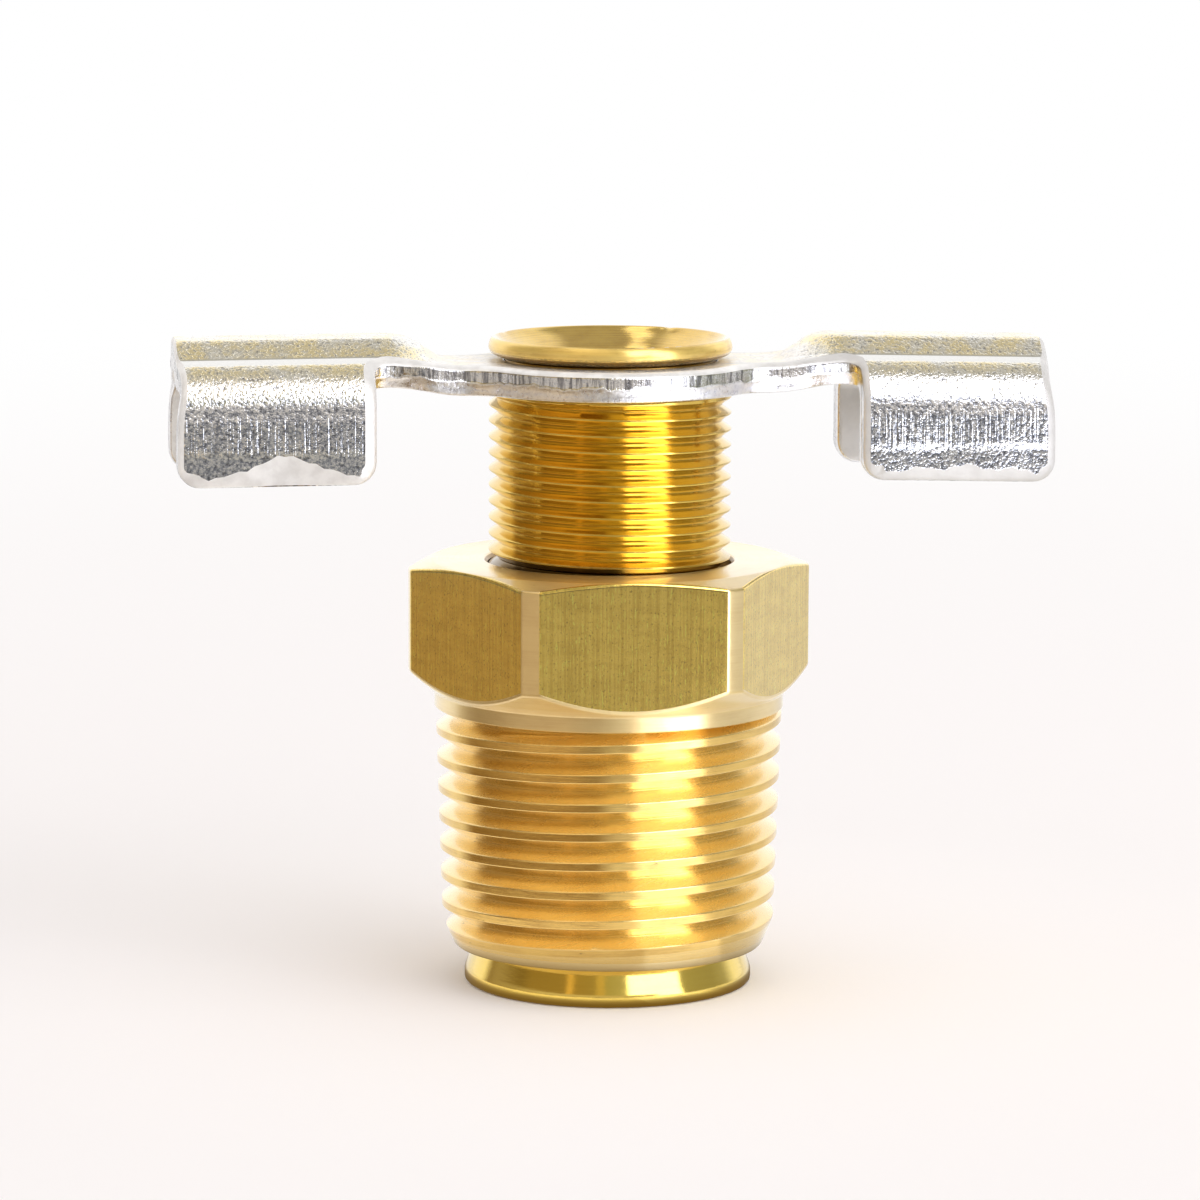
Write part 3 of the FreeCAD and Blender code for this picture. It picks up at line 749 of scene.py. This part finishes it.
def in_poly(pts, loop):
    x, y = pts[:, 0][:, None], pts[:, 1][:, None]
    x0, y0 = loop[:, 0][None], loop[:, 1][None]
    x1, y1 = np.roll(loop[:, 0], -1)[None], np.roll(loop[:, 1], -1)[None]
    cross = ((y0 > y) != (y1 > y)) & (x < (x1 - x0) * (y - y0) / np.where(y1 == y0, 1e-12, y1 - y0) + x0)
    return np.sum(cross, axis=1) % 2 == 1


def far_from(pts, loop, gap):
    d = np.min(np.hypot(pts[:, 0][:, None] - loop[:, 0][None], pts[:, 1][:, None] - loop[:, 1][None]), axis=1)
    return d > gap


h_verts, h_faces, h_slots = [], [], []


def add_rows(loop, normals, rows, sl, flip):
    rings = []
    for off, d in rows:
        p = loop - normals * np.broadcast_to(off, (len(loop),))[:, None]
        first = len(h_verts)
        h_verts.extend(map(tuple, on_sheet(p[:, 0], p[:, 1], np.broadcast_to(d, (len(p),)))))
        rings.append(list(range(first, first + len(p))))
    n = len(loop)
    for k in range(len(rings) - 1):
        a, b = rings[k], rings[k + 1]
        for i in range(n):
            j = (i + 1) % n
            f = (a[i], b[i], b[j], a[j])
            h_faces.append(f[::-1] if flip else f)
            h_slots.append(sl(k))
    return rings[0], rings[-1]


o_top, o_bot = add_rows(outline, out_n, rows, lambda k: 0 if k < 1 else (3 if k < 8 else (1 if k < 11 else 2)), False)
i_top, i_bot = add_rows(hole, hole_n, hole_rows, lambda k: 1, True)


def cap(outer_ids, outer_loop, hole_ids, hole_loop, d, up, slot):
    grid = inside_grid()
    keep = in_poly(grid, outer_loop) & ~in_poly(grid, hole_loop)
    grid = grid[keep]
    grid = grid[far_from(grid, outer_loop, 0.22) & far_from(grid, hole_loop, 0.22)]
    pts = [Vector(p) for p in outer_loop] + [Vector(p) for p in hole_loop] + [Vector(p) for p in grid]
    no, nh = len(outer_loop), len(hole_loop)
    edges = [(i, (i + 1) % no) for i in range(no)] + [(no + i, no + (i + 1) % nh) for i in range(nh)]
    vs, _, fs, orig, _, _ = delaunay_2d_cdt(pts, edges, [], 0, 1e-6)
    mid = np.array([[sum(vs[i].x for i in f) / len(f), sum(vs[i].y for i in f) / len(f)] for f in fs])
    inside = in_poly(mid, outer_loop) & ~in_poly(mid, hole_loop)
    fs = [f for f, k in zip(fs, inside) if k]
    ids = []
    for v, o in zip(vs, orig):
        src = o[0] if o else None
        if src is not None and src < no:
            ids.append(outer_ids[src])
        elif src is not None and src < no + nh:
            ids.append(hole_ids[src - no])
        else:
            h_verts.append(tuple(on_sheet([v.x], [v.y], [d])[0]))
            ids.append(len(h_verts) - 1)
    for f in fs:
        t = [ids[i] for i in f]
        h_faces.append(t if up else t[::-1])
        h_slots.append(slot)


cap(o_top, outline - out_n * rows[0][0][:, None], i_top, hole - hole_n * hole_rows[0][0], 0.0, True, 0)
cap(o_bot, outline - out_n * rows[-1][0], i_bot, hole - hole_n * hole_rows[-1][0], SHEET, False, 3)
handle_obj = make_object("handle_stamped", h_verts, h_faces, h_slots, [M_ZINC, M_SHEAR, M_TORN, M_ROLL], 40.0)
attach(handle_obj, "handle")
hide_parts("handle")

# ------------------------------------------------------------------ studio
DEG = 180.0 / math.pi
# what stands round the part: degrees from straight ahead (towards +X), colour
BOX = (4.2, 4.2, 4.5)
ROUND = [(-180, (1.2, 1.18, 1.16)), (-128, (1.15, 1.10, 1.05)), (-119, (0.27, 0.20, 0.10)), (-84, (0.24, 0.175, 0.075)),
         (-74, (0.34, 0.25, 0.11)), (-43, (0.36, 0.27, 0.12)), (-41.2, (0.85, 0.60, 0.27)), (-37.4, (0.85, 0.60, 0.27)),
         (-35.6, (0.40, 0.30, 0.13)), (-18, (0.40, 0.32, 0.16)), (-16, (0.66, 0.52, 0.25)), (-11, (0.66, 0.52, 0.25)),
         (-9, (0.46, 0.43, 0.27)), (8.6, (0.52, 0.50, 0.38)), (10.2, BOX), (54, BOX), (56, (0.42, 0.41, 0.30)),
         (88, (0.38, 0.37, 0.28)), (103, (0.46, 0.46, 0.40)), (116, (1.10, 1.10, 1.10)), (180, (1.2, 1.18, 1.16))]
# the same for what shows on the floor, and for the low dark part of the room in front
GROUND = [(-180, (1.0, 0.99, 0.98)), (-126, (0.95, 0.93, 0.90)), (-117, (0.42, 0.31, 0.18)), (-95, (0.42, 0.31, 0.18)),
          (-62, (0.92, 0.72, 0.49)), (-36, (0.92, 0.72, 0.49)), (-18, (0.47, 0.435, 0.37)), (8.6, (0.48, 0.45, 0.385)), (10.2, BOX), (52, BOX),
          (55, (0.92, 0.92, 0.96)), (100, (0.92, 0.92, 0.96)), (122, (0.78, 0.76, 0.74)), (140, (0.78, 0.76, 0.74)), (155, (1.0, 0.99, 0.98)), (180, (1.0, 0.99, 0.98))]
FRONT = [(-180, (0.0, 0.0, 0.0)), (-122, (0.0, 0.0, 0.0)), (-112, (0.35, 0.35, 0.35)), (-84, (0.6, 0.6, 0.6)), (-62, (1.0, 1.0, 1.0)), (30, (1.0, 1.0, 1.0)),
         (36, (0.0, 0.0, 0.0)), (180, (0.0, 0.0, 0.0))]
AHEAD = [(-180, (0.0, 0.0, 0.0)), (-122, (0.0, 0.0, 0.0)), (-112, (1.0, 1.0, 1.0)), (40, (1.0, 1.0, 1.0)),
         (46, (0.0, 0.0, 0.0)), (180, (0.0, 0.0, 0.0))]
# the floor close by as mirrored in the metal: painted shade, a dark brown stretch in front on the left, pale elsewhere
NEAR = [(-180, (1.0, 0.99, 0.98)), (-116, (0.98, 0.95, 0.90)), (-104, (0.23, 0.14, 0.05)), (-14, (0.23, 0.14, 0.05)),
        (-3, (0.85, 0.83, 0.79)), (22, (0.85, 0.83, 0.79)), (58, (0.80, 0.72, 0.55)), (100, (0.80, 0.72, 0.55)),
        (130, (1.0, 0.98, 0.96)), (180, (1.0, 0.99, 0.98))]
# the floor under the thread as mirrored in the metal: a painted pool of warm light, brighter than the lit floor
INNER = [(-180, (0.95, 0.94, 0.93)), (-125, (0.92, 0.88, 0.84)), (-105, (1.18, 1.06, 0.90)), (20, (1.18, 1.08, 0.95)),
         (60, (0.98, 0.96, 0.93)), (180, (0.95, 0.94, 0.93))]
# warm reflector high up in front, on the left
HIGH = [(-180, (0.0, 0.0, 0.0)), (-92, (0.0, 0.0, 0.0)), (-80, (1.0, 1.0, 1.0)), (-14, (1.0, 1.0, 1.0)),
        (-4, (0.0, 0.0, 0.0)), (180, (0.0, 0.0, 0.0))]


def surroundings(nt, x, y, stops, lean=0.0):
    az = math_node(nt, "ARCTAN2", x, math_node(nt, "MULTIPLY", y, -1.0))
    fac = math_node(nt, "ADD", math_node(nt, "MULTIPLY", az, 0.5 / math.pi), 0.5)
    fac = math_node(nt, "SUBTRACT", fac, lean)
    n = nt.nodes.new("ShaderNodeValToRGB")
    nt.links.new(fac, n.inputs[0])
    e = n.color_ramp.elements
    for i, (deg, col) in enumerate(stops):
        at = (deg + 180.0) / 360.0
        stop = e[i] if i < 2 else e.new(at)
        stop.position = at
        stop.color = col + (1.0,)
    return n.outputs["Color"]


world = bpy.data.worlds.new("studio")
scene.world = world
world.use_nodes = True
nt = world.node_tree
nt.nodes.clear()
out = nt.nodes.new("ShaderNodeOutputWorld")
bg = nt.nodes.new("ShaderNodeBackground")
nt.links.new(bg.outputs[0], out.inputs[0])
tc = nt.nodes.new("ShaderNodeTexCoord")
sep = nt.nodes.new("ShaderNodeSeparateXYZ")
nt.links.new(tc.outputs["Generated"], sep.inputs[0])
wx, wy, wz = sep.outputs
el = math_node(nt, "MULTIPLY", math_node(nt, "ARCSINE", wz), DEG)
col = surroundings(nt, wx, wy, ROUND)
front = math_node(nt, "MULTIPLY", surroundings(nt, wx, wy, FRONT), ramp(nt, el, 17.0, 10.0))
col = mix_color(nt, front, col, (0.66, 0.60, 0.54))
high = math_node(nt, "MULTIPLY", surroundings(nt, wx, wy, HIGH), band_of(nt, el, 37.0, 72.0, 3.0))
# ceiling with a lit panel
panel = math_node(nt, "MULTIPLY", band_of(nt, wx, -0.34, -0.16, 0.02), band_of(nt, wy, -0.35, 0.25, 0.02))
roof = mix_color(nt, panel, (0.52, 0.49, 0.42), (1.7, 1.65, 1.5))
col = mix_color(nt, ramp(nt, el, 52.0, 66.0), col, roof)
col = mix_color(nt, high, col, (1.10, 0.92, 0.66))
path = nt.nodes.new("ShaderNodeLightPath")
col = mix_color(nt, path.outputs["Is Diffuse Ray"], col, (0.895, 0.857, 0.842))
col = mix_color(nt, path.outputs["Is Camera Ray"], col, (1.0, 1.0, 1.0))
nt.links.new(col, bg.inputs["Color"])

key = bpy.data.lights.new("key", "AREA")
key.shape = "DISK"
key.size = 0.40
key.energy = 0.44
key_obj = bpy.data.objects.new("key", key)
scene.collection.objects.link(key_obj)
key_at = Vector((math.sin(math.radians(62)) * math.cos(math.radians(33)), -math.cos(math.radians(62)) * math.cos(math.radians(33)),
                 math.sin(math.radians(33)))) * 0.55
key_obj.matrix_world = Matrix.Translation(key_at) @ (-key_at).to_track_quat("-Z", "Y").to_matrix().to_4x4()
key_obj.visible_glossy = False

# ------------------------------------------------------------------ floor
floor_mesh = bpy.data.meshes.new("floor")
floor_mesh.from_pydata([(-3, -3, 0), (3, -3, 0), (3, 3, 0), (-3, 3, 0)], [], [(0, 1, 2, 3)])
floor = bpy.data.objects.new("floor", floor_mesh)
scene.collection.objects.link(floor)
fm = bpy.data.materials.new("floor_pale")
fm.use_nodes = True
nt = fm.node_tree
nt.nodes.clear()
out = nt.nodes.new("ShaderNodeOutputMaterial")
diff = nt.nodes.new("ShaderNodeBsdfDiffuse")
pos = nt.nodes.new("ShaderNodeNewGeometry")
sep = nt.nodes.new("ShaderNodeSeparateXYZ")
nt.links.new(pos.outputs["Position"], sep.inputs[0])
dist = nt.nodes.new("ShaderNodeVectorMath")
dist.operation = "LENGTH"
nt.links.new(pos.outputs["Position"], dist.inputs[0])
# painted light: the floor is lighter within a few centimetres of the part, which thins its contact shadow
nt.links.new(mix_color(nt, ramp(nt, dist.outputs["Value"], 0.012, 0.060), (1.0, 0.985, 0.98), (0.935, 0.925, 0.92)), diff.inputs["Color"])
# the sweep goes to plain white far from the part
white = nt.nodes.new("ShaderNodeEmission")
sweep = nt.nodes.new("ShaderNodeMixShader")
nt.links.new(ramp(nt, dist.outputs["Value"], 0.05, 0.42), sweep.inputs[0])
nt.links.new(diff.outputs[0], sweep.inputs[1])
nt.links.new(white.outputs[0], sweep.inputs[2])
# painted reflection: to glossy rays the floor shows a painted picture of the room, darker towards the front, instead of
# its lit face
floor_painted_reflection = nt.nodes.new("ShaderNodeEmission")
far = dist.outputs["Value"]
fx_, fy_ = sep.outputs[0], sep.outputs[1]
# the lit panel's image leans away from the camera as it recedes
lean = math_node(nt, "ADD", ramp(nt, far, 0.076, 0.086, 0.0, 2.6 / 360.0), ramp(nt, far, 0.109, 0.119, 0.0, 17.0 / 360.0))
side_az = math_node(nt, "ARCTAN2", fx_, math_node(nt, "MULTIPLY", fy_, -1.0))
lean = math_node(nt, "MULTIPLY", lean, math_node(nt, "MULTIPLY", ramp(nt, side_az, -0.02, 0.02), ramp(nt, side_az, 0.75, 0.40)))
painted_reflection_col = surroundings(nt, fx_, fy_, GROUND, lean)
ahead = surroundings(nt, fx_, fy_, AHEAD)
# pale close to the part, slate far off in front of it
painted_reflection_col = mix_color(nt, math_node(nt, "MULTIPLY", ahead, ramp(nt, far, 0.196, 0.214)), painted_reflection_col, (0.40, 0.39, 0.385))
slate = math_node(nt, "MULTIPLY", ahead, ramp(nt, far, 0.236, 0.262))
painted_reflection_col = mix_color(nt, slate, painted_reflection_col, (0.15, 0.155, 0.17))
boxed = ramp(nt, surroundings(nt, fx_, fy_, GROUND), 1.2, 2.0, 1.0, 0.75)
painted_reflection_col = mix_color(nt, math_node(nt, "MULTIPLY", ramp(nt, far, 0.084, 0.064), boxed), painted_reflection_col, surroundings(nt, fx_, fy_, NEAR))
sunlit = ramp(nt, surroundings(nt, fx_, fy_, GROUND), 1.2, 2.0, 1.0, 0.2)
painted_reflection_col = mix_color(nt, math_node(nt, "MULTIPLY", ramp(nt, far, 0.034, 0.029), sunlit), painted_reflection_col, surroundings(nt, fx_, fy_, INNER))
# painted contact shadow: dark brown in the mirrored floor right under the part
under = ramp(nt, far, 0.0085, 0.0160)
painted_reflection_col = mix_color(nt, under, (0.20, 0.14, 0.07), painted_reflection_col)
nt.links.new(painted_reflection_col, floor_painted_reflection.inputs["Color"])
path = nt.nodes.new("ShaderNodeLightPath")
mixer = nt.nodes.new("ShaderNodeMixShader")
nt.links.new(path.outputs["Is Glossy Ray"], mixer.inputs[0])
nt.links.new(sweep.outputs[0], mixer.inputs[1])
nt.links.new(floor_painted_reflection.outputs[0], mixer.inputs[2])
nt.links.new(mixer.outputs[0], out.inputs[0])
floor_mesh.materials.append(fm)

# ------------------------------------------------------------------ camera
eye = Vector((-44.15, -320.6, 72.15)) * MM
aim = Vector((-0.565, 0.077, 23.92)) * MM
cam = bpy.data.cameras.new("camera")
cam.sensor_width = 36.0
cam.sensor_fit = "HORIZONTAL"
cam.lens = 5271.0 / 1200.0 * 36.0
cam.clip_start = 0.01
cam.clip_end = 20.0
cam_obj = bpy.data.objects.new("camera", cam)
scene.collection.objects.link(cam_obj)
look = (aim - eye).to_track_quat("-Z", "Y").to_matrix().to_4x4()
cam_obj.matrix_world = Matrix.Translation(eye) @ look @ Matrix.Rotation(math.radians(0.267), 4, "Z")
scene.camera = cam_obj
